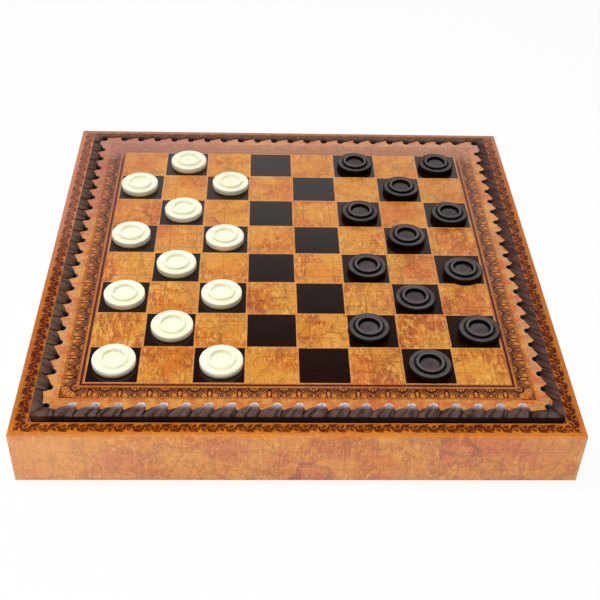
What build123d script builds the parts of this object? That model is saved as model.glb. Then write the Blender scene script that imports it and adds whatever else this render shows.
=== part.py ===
from build123d import *
from math import atan2, degrees, sqrt
import os

# A games compendium box: a shallow covered case with a laced, chequered board that lifts off it, twelve white
# and twelve black draughts standing on the board, and two sets of chessmen lying in the wells underneath.
# Millimetres, +Z up, -Y is the front. The origin is the centre of the underside.

# ---- Driving dimensions ----

# Games board
squares_per_side = 8
square_size = 33.5
board_border = 29.0            # from the playing squares to the laced edge
core_thickness = 4.0
board_cover_thickness = 0.7
board_corner_radius = 2.9      # over the lacing

# Lacing: one flat leather lace whipped over the board's edge
lace_thickness = 0.9
lace_edge_radius = 0.8
stitches_per_side = 22         # counting one corner stitch to each side
hole_inset = 8.8               # from the laced edge to the row of punched holes
corner_spread = 2.4            # how much more than the pitch lies between a corner's hole and the next
hole_radius = 2.5
hole_play = 0.2                # between the lace and the wall of its hole
stitch_gap = 0.3
stitch_lean = 3.4              # how far a stitch's foot trails its hole
valley_inset = 5.0             # from the laced edge to where two stitches part
tip_width = 4.4
tip_setback = 0.4              # the stitch's tip stops this far short of the holes' line

# Case
board_clearance = 0.8
wall_thickness = 9.6
case_cover_thickness = 0.8
case_edge_radius = 1.2
baize_thickness = 0.8
baize_margin = 2.0
base_thickness = 4.0
lining_thickness = 0.8
ledge_thickness = 6.0
rebate_depth = 2.2             # from the rim down to the ledges
divider_thickness = 4.0
divider_drop = 2.2             # from the ledges down to the dividers' tops
well_headroom = 6.6            # above the widest chessman, up to the ledges
well_play = 6.0                # beside the longest chessman, or the longest pair of pawns

# Draughts
draught_radius = 13.9
draught_face_height = 4.5
draught_edge_radius = 0.6
draught_foot_radius = 0.6
ring_outer_radius = 9.2
ring_width = 2.0
ring_height = 1.6
ring_rounding = 0.4
groove_width = 1.0
groove_depth = 0.8
dish_depth = 2.7               # from the ring's top to the sunk centre
dish_taper = 0.5
stacking_play = 0.5
stacking_gap = 0.2

# Each draught stands on a dark square, named by its column and row, and a little off the square's middle:
# that shift, to the right and to the back, is in hundredths of a square
white_places = [
    ("a", 1, 1, 3), ("c", 1, 4, 2), ("b", 2, 4, 3), ("a", 3, 1, -1), ("c", 3, -2, 3), ("b", 4, 0, 2),
    ("a", 5, -5, 5), ("c", 5, -1, -3), ("b", 6, 3, 0), ("a", 7, -4, 1), ("c", 7, 6, 9), ("b", 8, 4, 0),
]
black_places = [
    ("g", 1, 1, -7), ("f", 2, -8, -2), ("h", 2, 11, -5), ("g", 3, -6, -8), ("f", 4, 3, -5), ("h", 4, 6, -14),
    ("g", 5, -2, 5), ("f", 6, 1, -5), ("h", 6, 4, -7), ("g", 7, 4, -4), ("f", 8, 2, -2), ("h", 8, -2, -1),
]

# Chessmen
king_height = 65.0
king_base_radius = 13.0
queen_height = 58.0
queen_base_radius = 13.0
bishop_height = 52.0
bishop_base_radius = 12.0
knight_height = 46.0
knight_base_radius = 12.0
rook_height = 40.0
rook_base_radius = 12.0
pawn_height = 36.0
pawn_base_radius = 10.5
foot_height = 2.4
foot_rounding = 0.8
step_inset = 1.4
step_height = 2.4
shoulder_inset = 3.2
collar_overhang = 2.2
collar_thickness = 2.0
crown_radius = 7.6
crown_height = 11.0
crown_rim_drop = 2.8           # from the crown's point down to its rim
cross_span = 7.0
cross_height = 8.0
cross_thickness = 2.6
coronet_radius = 7.4
coronet_height = 10.0
coronet_notch_pairs = 4
coronet_wall = 2.2
coronet_hollow = 2.5
coronet_notch_radius = 1.3
finial_radius = 2.4
mitre_radius = 6.2
mitre_height = 16.0
mitre_bulge = 9.3              # the pull of the mitre's side curve, outward
mitre_bulge_height = 4.0
mitre_shoulder_drop = 5.3
mitre_slot = 1.2
mitre_slot_angle = 35
mitre_slot_reach = 8.7
mitre_finial_radius = 1.6
turret_radius = 8.4
turret_height = 11.0
turret_flare = 3.7
turret_wall = 2.2
turret_recess = 3.0
battlement_gap = 3.0
ball_radius = 6.2
horse_thickness = 10.0
horse_rounding = 1.2
# The horse's head, from the chest round the muzzle to the ear, then the middle and the foot of its mane:
# shares of the foot's step radius across, and of the head's height up
horse_face = [(0.72, 0), (0.62, 0.16), (0.30, 0.38), (0.42, 0.50), (0.86, 0.46), (1.0, 0.56), (0.88, 0.70),
              (0.40, 0.90), (0.24, 1.0), (0.04, 0.92)]
horse_mane = [(-0.74, 0.60), (-0.72, 0)]
royal_neck_radius = 5.0
minor_neck_radius = 4.4
pawn_neck_radius = 3.8
chessman_rest_gap = 0.2
pawn_pair_gap = 1.0
head_sink = 0.6                # how far a head is let into its collar

# ---- Derived sizes and levels ----

field_half = squares_per_side * square_size / 2
board_half = field_half + board_border
core_half = board_half - lace_thickness
core_corner_radius = board_corner_radius - lace_thickness
opening_half = board_half + board_clearance
wall_inner_half = opening_half + case_cover_thickness
wall_outer_half = wall_inner_half + wall_thickness
case_half = wall_outer_half + case_cover_thickness
well_half = wall_inner_half - ledge_thickness

base_level = baize_thickness
floor_level = base_level + base_thickness
lining_level = floor_level + lining_thickness
widest_chessman = 2 * max(king_base_radius, queen_base_radius, bishop_base_radius, knight_base_radius,
                          rook_base_radius, pawn_base_radius)
ledge_level = lining_level + widest_chessman + well_headroom
rim_level = ledge_level + rebate_depth
divider_level = ledge_level - divider_drop
lower_cover_level = ledge_level + lace_thickness
core_level = lower_cover_level + board_cover_thickness
upper_cover_level = core_level + core_thickness
field_level = upper_cover_level + board_cover_thickness
lace_top_level = field_level + lace_thickness

hole_half = board_half - hole_inset
stitch_pitch = 2 * (hole_half - corner_spread) / stitches_per_side
side_well_width = max(king_height, 2 * pawn_height) + well_play
divider_offset = well_half - side_well_width - divider_thickness / 2
side_well_middle = well_half - side_well_width / 2
sides = ["front", "right", "back", "left"]   # each a quarter turn about +Z from the one before


# ---- Helpers ----

def block(half_x, half_y, bottom, top):
    """An upright block centred on the Z axis, between two levels."""
    return Pos(0, 0, (bottom + top) / 2) * Box(2 * half_x, 2 * half_y, top - bottom)


def rounded_block(half, corner_radius, bottom, top):
    """A square block with its upright corners rounded."""
    square = block(half, half, bottom, top)
    return fillet(square.edges().filter_by(Axis.Z), corner_radius)


def prism(corners, bottom, top):
    """A flat outline of (x, y) corners, raised from one level to another."""
    outline = make_face(Polyline(*[(x, y, bottom) for x, y in corners], close=True))
    return extrude(outline, amount=top - bottom, dir=(0, 0, 1))


def turned(*corners):
    """A body turned about Z from (radius, height, rounding) corners."""
    points = [(radius, 0, height) for radius, height, rounding in corners]
    roundings = [rounding for radius, height, rounding in corners]
    outline = make_face(FilletPolyline(*points, radius=roundings, close=True))
    return revolve(outline, axis=Axis.Z)


def quarter_turns(count):
    """The turn from the front side to another side."""
    return Rot(0, 0, 90 * count)


def mitred_strip(outer_half, inner_half, bottom, top):
    """The front one of four strips that meet at mitred corners."""
    corners = [(-outer_half, -outer_half), (outer_half, -outer_half),
               (inner_half, -inner_half), (-inner_half, -inner_half)]
    return prism(corners, bottom, top)


def write(name, solids):
    """Write one named sub-part, a single solid or a group of separate ones."""
    shape = Compound(children=solids) if isinstance(solids, list) else solids
    shape.label = name
    export_step(shape, f"parts/{name}.step")


# ---- Case ----

def base_baize():
    half = wall_outer_half - baize_margin
    return block(half, half, 0, base_level)


def case_cover():
    """The leatherette skin: outside of the walls, top of the rim, and down the rebate to the ledges."""
    skin = rounded_block(case_half, case_edge_radius, base_level, rim_level)
    skin = fillet(skin.faces().sort_by(Axis.Z)[-1].edges(), case_edge_radius)
    wall_top = rim_level - case_cover_thickness
    skin -= block(wall_outer_half, wall_outer_half, base_level, wall_top)
    skin -= block(opening_half, opening_half, base_level, rim_level)
    lip = block(wall_inner_half, wall_inner_half, ledge_level, wall_top)
    lip -= block(opening_half, opening_half, ledge_level, wall_top)
    return skin + lip


def divider(offset):
    """A partition that runs from the front ledge to the back one."""
    return Pos(offset, 0, 0) * block(divider_thickness / 2, well_half, lining_level, divider_level)


def write_case():
    write("base_baize", base_baize())
    write("base_panel", block(wall_outer_half, wall_outer_half, base_level, floor_level))
    write("case_cover", case_cover())
    write("floor_lining", block(well_half, well_half, floor_level, lining_level))
    wall = mitred_strip(wall_outer_half, wall_inner_half, floor_level, rim_level - case_cover_thickness)
    ledge = mitred_strip(wall_inner_half, well_half, floor_level, ledge_level)
    for quarter, side in enumerate(sides):
        write(f"{side}_wall", quarter_turns(quarter) * wall)
        write(f"{side}_ledge", quarter_turns(quarter) * ledge)
    write("left_divider", divider(-divider_offset))
    write("right_divider", divider(divider_offset))
    cross_half = divider_offset - divider_thickness / 2
    write("cross_divider", block(cross_half, divider_thickness / 2, lining_level, divider_level))


# ---- Games board ----

def hole_along(count):
    """Where a side's hole lies along it: the corner's is number 0, and the others follow at the pitch."""
    return hole_half if count == 0 else hole_half - corner_spread - count * stitch_pitch


def hole_cutters(bottom, top):
    """The ring of punched holes, one cylinder each, stitches_per_side to a side."""
    cutter = Pos(0, 0, (bottom + top) / 2) * Cylinder(hole_radius, top - bottom)
    places = []
    for quarter in range(len(sides)):
        for count in range(stitches_per_side):
            places.append(quarter_turns(quarter) * Pos(hole_along(count), -hole_half, 0))
    return [place * cutter for place in places]


def punched_sheet(bottom, top):
    """One layer of the board, inside the lacing, with the lacing's holes through it."""
    return rounded_block(core_half, core_corner_radius, bottom, top) - hole_cutters(bottom, top)


def lace_ring():
    """The space of the whole lacing: a square ring, C-shaped in section, wrapped over the board's edge."""
    outside = rounded_block(board_half, board_corner_radius, ledge_level, lace_top_level)
    ends = outside.faces().sort_by(Axis.Z)
    outside = fillet(ends[0].edges() + ends[-1].edges(), lace_edge_radius)
    return outside - rounded_block(core_half, core_corner_radius, lower_cover_level, field_level)


def stitch(ring, corners, hole_x):
    """One stitch of the front side: its fan on both faces, and the lace in its hole."""
    region = prism(corners, ledge_level, lace_top_level)
    height = lace_top_level - ledge_level
    plug = Pos(hole_x, -hole_half, ledge_level + height / 2) * Cylinder(hole_radius - hole_play, height)
    return (ring & region) + (plug & region)


def side_stitch_outline(hole_x):
    """Plan of a stitch along the front: a full-width foot at the edge, and a leaning tooth up to its hole."""
    foot_middle = hole_x - stitch_lean
    foot_half = (stitch_pitch - stitch_gap) / 2
    edge_y = -board_half
    valley_y = edge_y + valley_inset
    tip_y = -hole_half - tip_setback
    return [(foot_middle - foot_half, edge_y), (foot_middle + foot_half, edge_y),
            (foot_middle + foot_half, valley_y), (hole_x + tip_width / 2, tip_y),
            (hole_x - tip_width / 2, tip_y), (foot_middle - foot_half, valley_y)]


def corner_stitch_outline():
    """Plan of the stitch at the front right corner: a fan from the corner hole over both edges."""
    trailing_x = hole_along(1) + stitch_pitch / 2 - stitch_lean + stitch_gap / 2
    leading_y = -hole_along(1) - stitch_pitch / 2 - stitch_lean - stitch_gap / 2
    valley = board_half - valley_inset
    tip_x = hole_half + tip_setback / sqrt(2)
    tip_y = -hole_half - tip_setback / sqrt(2)
    tip_half = tip_width / 2 / sqrt(2)
    return [(trailing_x, -board_half), (board_half, -board_half), (board_half, leading_y),
            (valley, leading_y), (tip_x + tip_half, tip_y + tip_half),
            (tip_x - tip_half, tip_y - tip_half), (trailing_x, -valley)]


def front_lacing():
    """The front side's stitches, from the left end to the one at the right corner."""
    ring = lace_ring()
    middle_stitch = stitch(ring, side_stitch_outline(0), 0)
    stitches = []
    for count in range(1, stitches_per_side):
        stitches.append(Pos(hole_along(count), 0, 0) * middle_stitch)
    stitches.append(stitch(ring, corner_stitch_outline(), hole_half))
    return stitches


def write_board():
    write("board_core", punched_sheet(core_level, upper_cover_level))
    write("upper_cover", punched_sheet(upper_cover_level, field_level))
    write("lower_cover", punched_sheet(lower_cover_level, core_level))
    stitches = front_lacing()
    for quarter, side in enumerate(sides):
        write(f"{side}_lacing", [quarter_turns(quarter) * one for one in stitches])


# ---- Draughts ----

def draught():
    """A draught standing on the XY plane, with a stacking ring on top and its recess underneath."""
    ring_top = draught_face_height + ring_height
    ring_inner_radius = ring_outer_radius - ring_width
    groove_outer_radius = ring_outer_radius + groove_width
    groove_level = draught_face_height - groove_depth
    recess_radius = ring_outer_radius + stacking_play
    recess_depth = ring_height + stacking_gap
    dish_level = ring_top - dish_depth
    return turned(
        (0, recess_depth, 0), (recess_radius, recess_depth, 0), (recess_radius, 0, 0),
        (draught_radius, 0, draught_foot_radius),
        (draught_radius, draught_face_height, draught_edge_radius),
        (groove_outer_radius, draught_face_height, 0), (groove_outer_radius, groove_level, 0),
        (ring_outer_radius, groove_level, 0), (ring_outer_radius, ring_top, ring_rounding),
        (ring_inner_radius, ring_top, ring_rounding), (ring_inner_radius - dish_taper, dish_level, 0),
        (0, dish_level, 0))


def write_draughts(colour, places, piece):
    """Stand a set of draughts on its squares, each in a node of its own."""
    for count, (column, row, shift_x, shift_y) in enumerate(places, start=1):
        column_number = ord(column) - ord("a")
        x = (column_number + 0.5 + shift_x / 100) * square_size - field_half
        y = (row - 0.5 + shift_y / 100) * square_size - field_half
        write(f"{colour}_draught_{count:02d}", Pos(x, y, field_level) * piece)


# ---- Chessmen ----

def turned_stand(base_radius, neck_radius, collar_level):
    """The part that the turned men share: foot, step, hollow stem and collar, up to the collar's top."""
    step_radius = base_radius - step_inset
    step_top = foot_height + step_height
    foot = turned((0, 0, 0), (base_radius, 0, foot_rounding), (base_radius, foot_height, foot_rounding),
                  (step_radius, foot_height, 0), (step_radius, step_top, foot_rounding), (0, step_top, 0))
    shoulder = (base_radius - shoulder_inset, 0, step_top)
    bend = (neck_radius, 0, step_top + (collar_level - step_top) / 4)
    neck = (neck_radius, 0, collar_level)
    stem_side = Bezier(shoulder, bend, neck)
    stem_rest = Polyline(neck, (0, 0, collar_level), (0, 0, step_top), shoulder)
    stem = revolve(make_face(stem_side + stem_rest), axis=Axis.Z)
    collar_radius = neck_radius + collar_overhang
    collar_top = collar_level + collar_thickness
    collar = turned((0, collar_level, 0), (collar_radius, collar_level, foot_rounding),
                    (collar_radius, collar_top, foot_rounding), (0, collar_top, 0))
    return foot + stem + collar


def king():
    crown_base = king_height - cross_height - crown_height
    crown_top = crown_base + crown_height
    stand = turned_stand(king_base_radius, royal_neck_radius, crown_base - collar_thickness)
    crown = turned((0, crown_base - head_sink, 0), (royal_neck_radius, crown_base - head_sink, 0),
                   (royal_neck_radius, crown_base, 0),
                   (crown_radius, crown_top - crown_rim_drop, foot_rounding), (0, crown_top, 0))
    upright_height = cross_height + head_sink
    upright = Box(cross_thickness, cross_thickness, upright_height)
    upright = Pos(0, 0, king_height - upright_height / 2) * upright
    arms = Pos(0, 0, king_height - cross_height / 2) * Box(cross_thickness, cross_span, cross_thickness)
    return stand + crown + upright + arms


def queen():
    coronet_base = queen_height - 2 * finial_radius - coronet_height + head_sink
    coronet_top = coronet_base + coronet_height
    stand = turned_stand(queen_base_radius, royal_neck_radius, coronet_base - collar_thickness)
    dome_level = coronet_top - coronet_hollow
    coronet = turned((0, coronet_base - head_sink, 0), (royal_neck_radius, coronet_base - head_sink, 0),
                     (royal_neck_radius, coronet_base, 0), (coronet_radius, coronet_top, 0),
                     (coronet_radius - coronet_wall, dome_level, 0), (0, coronet_top, 0))
    notch = Rot(0, 90, 0) * Cylinder(coronet_notch_radius, 2 * coronet_radius)
    for count in range(coronet_notch_pairs):
        coronet -= Pos(0, 0, coronet_top) * Rot(0, 0, count * 180 / coronet_notch_pairs) * notch
    dome = turned((0, coronet_base, 0), (royal_neck_radius, coronet_base, 0),
                  (royal_neck_radius - head_sink, coronet_top, foot_rounding), (0, coronet_top, 0))
    finial = Pos(0, 0, queen_height - finial_radius) * Sphere(finial_radius)
    return stand + coronet + dome + finial


def bishop():
    mitre_base = bishop_height - mitre_finial_radius - mitre_height
    mitre_top = mitre_base + mitre_height
    stand = turned_stand(bishop_base_radius, minor_neck_radius, mitre_base - collar_thickness)
    foot_point = (minor_neck_radius, 0, mitre_base - head_sink)
    shoulder_level = mitre_top - mitre_shoulder_drop
    side = Bezier(foot_point, (mitre_bulge, 0, mitre_base + mitre_bulge_height),
                  (mitre_radius, 0, shoulder_level), (0, 0, mitre_top))
    rest = Polyline((0, 0, mitre_top), (0, 0, mitre_base - head_sink), foot_point)
    mitre = revolve(make_face(side + rest), axis=Axis.Z)
    slot_place = Pos(mitre_radius, 0, shoulder_level) * Rot(0, -mitre_slot_angle, 0)
    mitre -= slot_place * Box(mitre_slot_reach, 4 * mitre_radius, mitre_slot)
    finial = Pos(0, 0, bishop_height - mitre_finial_radius) * Sphere(mitre_finial_radius)
    return stand + mitre + finial


def rook():
    turret_base = rook_height - turret_height
    floor = rook_height - turret_recess
    stand = turned_stand(rook_base_radius, royal_neck_radius, turret_base - collar_thickness)
    turret = turned((0, turret_base - head_sink, 0), (royal_neck_radius, turret_base - head_sink, 0),
                    (royal_neck_radius, turret_base, 0), (turret_radius, turret_base + turret_flare, 0),
                    (turret_radius, rook_height, 0), (turret_radius - turret_wall, rook_height, 0),
                    (turret_radius - turret_wall, floor, 0), (0, floor, 0))
    gap = Pos(0, 0, floor + turret_recess) * Box(3 * turret_radius, battlement_gap, 2 * turret_recess)
    turret -= Rot(0, 0, 45) * gap
    turret -= Rot(0, 0, -45) * gap
    return stand + turret


def pawn():
    collar_level = pawn_height - 2 * ball_radius + head_sink - collar_thickness
    ball = Pos(0, 0, pawn_height - ball_radius) * Sphere(ball_radius)
    return turned_stand(pawn_base_radius, pawn_neck_radius, collar_level) + ball


def knight():
    """A turned foot with a flat horse's head on it, facing +X, its edges rounded."""
    step_radius = knight_base_radius - step_inset
    step_top = foot_height + step_height
    foot = turned((0, 0, 0), (knight_base_radius, 0, foot_rounding),
                  (knight_base_radius, foot_height, foot_rounding), (step_radius, foot_height, 0),
                  (step_radius, step_top, foot_rounding), (0, step_top, 0))
    neck_level = step_top - head_sink
    rise = knight_height - neck_level
    face = [(across * step_radius, -horse_thickness / 2, neck_level + up * rise) for across, up in horse_face]
    mane = [(across * step_radius, -horse_thickness / 2, neck_level + up * rise) for across, up in horse_mane]
    outline = Polyline(*face) + ThreePointArc(face[-1], *mane) + Line(mane[-1], face[0])
    head = extrude(make_face(outline), amount=horse_thickness, dir=(0, 1, 0))
    rims = head.faces().filter_by(Axis.Y).edges().filter_by(lambda edge: edge.center().Z > step_top)
    return foot + fillet(rims, horse_rounding)


def lying(man, base_radius, head_half_thickness, head_level, spin=0):
    """Lay an upright man down along +X so that his foot's edge and his head both touch the floor."""
    tilt = degrees(atan2(base_radius - head_half_thickness, head_level))
    laid = Rot(0, 90 + tilt, 0) * Rot(0, 0, spin) * man
    box = laid.bounding_box()
    middle = (box.min.X + box.max.X) / 2
    return Pos(-middle, 0, lining_level + chessman_rest_gap - box.min.Z) * laid


def chess_rows():
    """Each kind of man, laid down, with its row's width; the pawns lie in pairs, head to head."""
    turret_middle = rook_height - turret_height + turret_flare
    men = [
        ("king", [[lying(king(), king_base_radius, crown_radius, king_height - cross_height)]],
         king_base_radius),
        ("queen", [[lying(queen(), queen_base_radius, coronet_radius, queen_height - 2 * finial_radius)]],
         queen_base_radius),
        ("bishops", 2 * [[lying(bishop(), bishop_base_radius, mitre_radius, bishop_height - mitre_height / 2)]],
         bishop_base_radius),
        ("knights", 2 * [[lying(knight(), knight_base_radius, horse_thickness / 2, knight_height, spin=90)]],
         knight_base_radius),
        ("rooks", 2 * [[lying(rook(), rook_base_radius, turret_radius, turret_middle)]], rook_base_radius),
    ]
    one_pawn = lying(pawn(), pawn_base_radius, ball_radius, pawn_height - ball_radius)
    half_pair = one_pawn.bounding_box().size.X / 2 + pawn_pair_gap / 2
    pair = [Pos(-half_pair, 0, 0) * one_pawn, Rot(0, 0, 180) * Pos(-half_pair, 0, 0) * one_pawn]
    men.append(("pawns", 4 * [pair], pawn_base_radius))
    return men


def write_chessmen():
    """White in the left well and black in the right one, in rows from the front, every other row turned."""
    kinds = chess_rows()
    widths = [2 * radius for name, rows, radius in kinds for row in rows]
    row_gap = (2 * well_half - sum(widths)) / (len(widths) + 1)
    for colour, middle_x in (("white", -side_well_middle), ("black", side_well_middle)):
        y = -well_half
        row_number = 0
        for name, rows, radius in kinds:
            placed = []
            for row in rows:
                y += row_gap + radius
                turn = 180 * (row_number % 2)
                placed += [Pos(middle_x, y, 0) * Rot(0, 0, turn) * man for man in row]
                y += radius
                row_number += 1
            write(f"{colour}_{name}", placed)


os.makedirs("parts", exist_ok=True)
write_case()
write_board()
draught_piece = draught()
write_draughts("white", white_places, draught_piece)
write_draughts("black", black_places, draught_piece)
write_chessmen()
print(f"case {2 * case_half:.1f} x {2 * case_half:.1f} x {rim_level:.1f}, playing field at {field_level:.1f}")
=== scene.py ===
import functools
import math

import bpy
import numpy as np
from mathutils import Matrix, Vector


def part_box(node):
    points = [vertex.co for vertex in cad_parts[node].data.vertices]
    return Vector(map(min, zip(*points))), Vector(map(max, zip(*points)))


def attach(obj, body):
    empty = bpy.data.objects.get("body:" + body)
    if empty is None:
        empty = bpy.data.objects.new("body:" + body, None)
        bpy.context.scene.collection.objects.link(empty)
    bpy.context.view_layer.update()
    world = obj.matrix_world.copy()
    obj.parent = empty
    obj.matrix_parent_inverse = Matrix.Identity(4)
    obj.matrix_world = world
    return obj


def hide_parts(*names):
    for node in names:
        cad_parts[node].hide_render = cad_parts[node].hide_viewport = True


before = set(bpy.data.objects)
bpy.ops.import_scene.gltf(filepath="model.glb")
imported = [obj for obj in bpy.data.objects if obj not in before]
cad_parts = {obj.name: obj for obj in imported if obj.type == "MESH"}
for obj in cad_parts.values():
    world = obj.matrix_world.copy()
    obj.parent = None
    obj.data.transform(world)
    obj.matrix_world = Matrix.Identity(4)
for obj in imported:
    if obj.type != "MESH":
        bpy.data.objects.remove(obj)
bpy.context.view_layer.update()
print("frame loaded")

mm = 0.001
sideNames = ["front", "right", "back", "left"]  # each a quarter turn from the one before

boardPlan = {
    "square": 33.5 * mm,
    "edge": 163.0 * mm,             # half the board, over its lacing
    "cornerRadius": 2.9 * mm,
    "fieldLevel": 44.5 * mm,
    "undersideLevel": 39.1 * mm,
    "rimLevel": 40.4 * mm,          # the case's rim
}


# camera, floor and light
cameraSettings = {"place": (-0.024522, -0.610705, 0.510385), "turn": (50.1807, -1.6833, -1.3951),
                  "lens": 63.7, "sensor": 36}
lampSettings = {
    "overhead": {"place": (-0.20, -0.13, 1.25), "size": 0.85, "power": 14.2},
    "table": {"place": (-0.1, -1.0, 0.019), "size": 1.5, "height": 0.032, "power": 3.4},  # lights the front
}
# strengths of the pale sweep low down behind, low down in front, and high up, and the sines of elevation
# between which it turns from one to the other
skySettings = {"low": 1.0, "front": 0.22, "high": 0.0, "turnFrom": 0.558, "turnTo": 0.64}
floorSettings = {"half": 6.0, "level": -0.2 * mm, "tone": 0.95, "shownWhite": 0.93}


def aim(place):
    # the turn that points an object's -Z from its place at the middle of the case
    x, y, z = np.subtract((0, 0, 0.03), place)
    return math.atan2(math.hypot(x, y), -z), 0, math.atan2(-x, y)


def addObject(name, data, place=(0, 0, 0), turn=(0, 0, 0)):
    added = bpy.data.objects.new(name, data)
    added.location, added.rotation_euler = place, turn
    bpy.context.scene.collection.objects.link(added)
    return added


def addCamera():
    data = bpy.data.cameras.new("camera")
    data.lens, data.sensor_width = cameraSettings["lens"], cameraSettings["sensor"]
    turn = [math.radians(angle) for angle in cameraSettings["turn"]]
    bpy.context.scene.camera = addObject("camera", data, cameraSettings["place"], turn)


def addLamps():
    for name, lamp in lampSettings.items():
        data = bpy.data.lights.new(name, "AREA")
        data.shape, data.size, data.energy = "DISK", lamp["size"], lamp["power"]
        if "height" in lamp:
            data.shape, data.size_y = "RECTANGLE", lamp["height"]
        addObject(name, data, lamp["place"], aim(lamp["place"]))


def operation(kind, swapped=False):
    # one shader arithmetic step, as a method of Field
    return lambda field, *others: field.calc(kind, *others, swapped=swapped)


class Field:
    # a value that changes over a surface: a socket with arithmetic, so a pattern reads as a formula
    def __init__(self, tree, socket):
        self.tree, self.socket = tree, socket

    def calc(self, kind, *others, swapped=False):
        values = others[:1] + (self,) if swapped else (self,) + others
        return addNode(self.tree, "Math", values, operation=kind)[0]

    __add__ = __radd__ = operation("ADD")
    __mul__ = __rmul__ = operation("MULTIPLY")
    __sub__, __rsub__ = operation("SUBTRACT"), operation("SUBTRACT", swapped=True)
    __truediv__, __rtruediv__ = operation("DIVIDE"), operation("DIVIDE", swapped=True)
    __abs__, least, most = operation("ABSOLUTE"), operation("MINIMUM"), operation("MAXIMUM")
    sine, cosine, part = operation("SINE"), operation("COSINE"), operation("FRACT")
    sign, floor, root = operation("SIGN"), operation("FLOOR"), operation("SQRT")

    def rise(self, low, high):
        # 0 at low, 1 at high, with a smooth way between them; high may be the smaller one
        return addNode(self.tree, "MapRange", (self, low, high, 0, 1), interpolation_type="SMOOTHSTEP")[0]

    def line(self, halfWidth, soft):
        # 1 where the value is near 0, and 0 outside the line
        return abs(self).rise(halfWidth + soft, halfWidth)


def plug(value, place):
    value = getattr(value, "socket", value)
    if isinstance(value, bpy.types.NodeSocket):
        place.id_data.links.new(value, place)
    else:
        place.default_value = value


def addNode(tree, kind, values=(), **settings):
    # a shader node; values go to its inputs in order, or by name. Returns its outputs
    node = tree.nodes.new("ShaderNode" + kind)
    for name, setting in settings.items():
        setattr(node, name, setting)
    for place, value in values.items() if isinstance(values, dict) else enumerate(values):
        plug(value, node.inputs[place])
    return [Field(tree, out) for out in node.outputs]


def readAttribute(where, name):
    return addNode(where.tree, "Attribute", attribute_name=name)[2]  # the third output is the plain number


def split(vector):
    return addNode(vector.tree, "SeparateXYZ", [vector])


def stretch(vector, factors, shift=(0, 0, 0)):
    # the vector times factors, plus shift
    return addNode(vector.tree, "VectorMath", (vector, factors, shift), operation="MULTIPLY_ADD")[0]


def noise(vector, scale, detail=2, roughness=0.5, distortion=0):
    return addNode(vector.tree, "TexNoise", {"Vector": vector, "Scale": scale, "Detail": detail,
                                             "Roughness": roughness, "Distortion": distortion})[0]


def cells(vector, scale, feature="F1"):
    return addNode(vector.tree, "TexVoronoi", {"Vector": vector, "Scale": scale}, feature=feature)[0]


def rgb(red, green, blue):
    # a screen colour, 0 to 255, as the light values that shaders use
    values = [v / 255 / 12.92 if v <= 10 else ((v / 255 + 0.055) / 1.055) ** 2.4 for v in (red, green, blue)]
    return (*values, 1)


def blendColor(share, under, over):
    # a Mix node's colour sockets are inputs 6 and 7, and output 2
    return addNode(share.tree, "Mix", {0: share, 6: under, 7: over}, data_type="RGBA")[2]


def layered(color, *layers):
    # lays tones over a colour one after another; a layer is the share that it covers, and its tone
    for share, tone in layers:
        color = blendColor(share, color, tone)
    return color


def length(x, y):
    return (x * x + y * y).root()


def greatest(fields):
    return functools.reduce(Field.most, fields)


# the kinds of a group's sockets; all the others are Float
socketKinds = {"Where": "Vector", "Flat": "Vector", "Lengthwise": "Vector", "Color": "Color"}


def makeGroup(build, inputs, outputs):
    group = bpy.data.node_groups.new(build.__name__, "ShaderNodeTree")
    for way, labels in (("INPUT", inputs), ("OUTPUT", outputs)):
        for label in labels:
            kind = "NodeSocket" + socketKinds.get(label, "Float")
            group.interface.new_socket(label, in_out=way, socket_type=kind)
    entry, result = group.nodes.new("NodeGroupInput"), group.nodes.new("NodeGroupOutput")
    given = [Field(group, entry.outputs[label]) for label in inputs]
    for label, field in zip(outputs, build(*given)):
        group.links.new(field.socket, result.inputs[label])
    return group


def useGroup(name, *values):
    return addNode(values[0].tree, "Group", values, node_tree=groups[name])


# the shared effects, each built once as a node group
def unfoldSheet(where, rimLevel):
    # lays a wrapped sheet flat: what hangs below the rim is counted on outward from its side.
    # along runs round the object, side by side; reach is the distance from the middle, over the rim
    x, y, z = split(where)
    drop = (rimLevel - z).most(0)
    onX = (abs(x) - abs(y)).calc("GREATER_THAN", 0)
    signX, signY = x.sign(), y.sign()
    reach = abs(x).most(abs(y)) + drop
    along = onX * y * signX - (1 - onX) * x * signY
    flat = addNode(x.tree, "CombineXYZ", (x + onX * signX * drop, y + (1 - onX) * signY * drop))[0]
    return flat, along, reach


chartPlan = {
    "paper": (rgb(213, 122, 36), rgb(225, 142, 54)), "ink": rgb(112, 52, 24),
    "meridians": (0.0197, 0.0163), "rayCentres": ((-0.071, -0.196), (0.118, 0.062)), "raysInHalfTurn": 8,
    # broad tinted lands on the walls, laid flat: middle, turn, half length and half width
    "lands": [((-0.035, -0.190), -0.35, 0.026, 0.011), ((0.070, -0.206), 0.3, 0.030, 0.010),
              ((-0.112, -0.198), 0.25, 0.020, 0.009), ((0.148, -0.188), -0.2, 0.016, 0.007),
              ((0.192, -0.055), 1.3, 0.030, 0.012), ((0.212, 0.085), 1.6, 0.024, 0.009),
              ((-0.198, 0.045), 1.7, 0.034, 0.012), ((0.030, 0.200), 0.1, 0.036, 0.012)],
}


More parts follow.
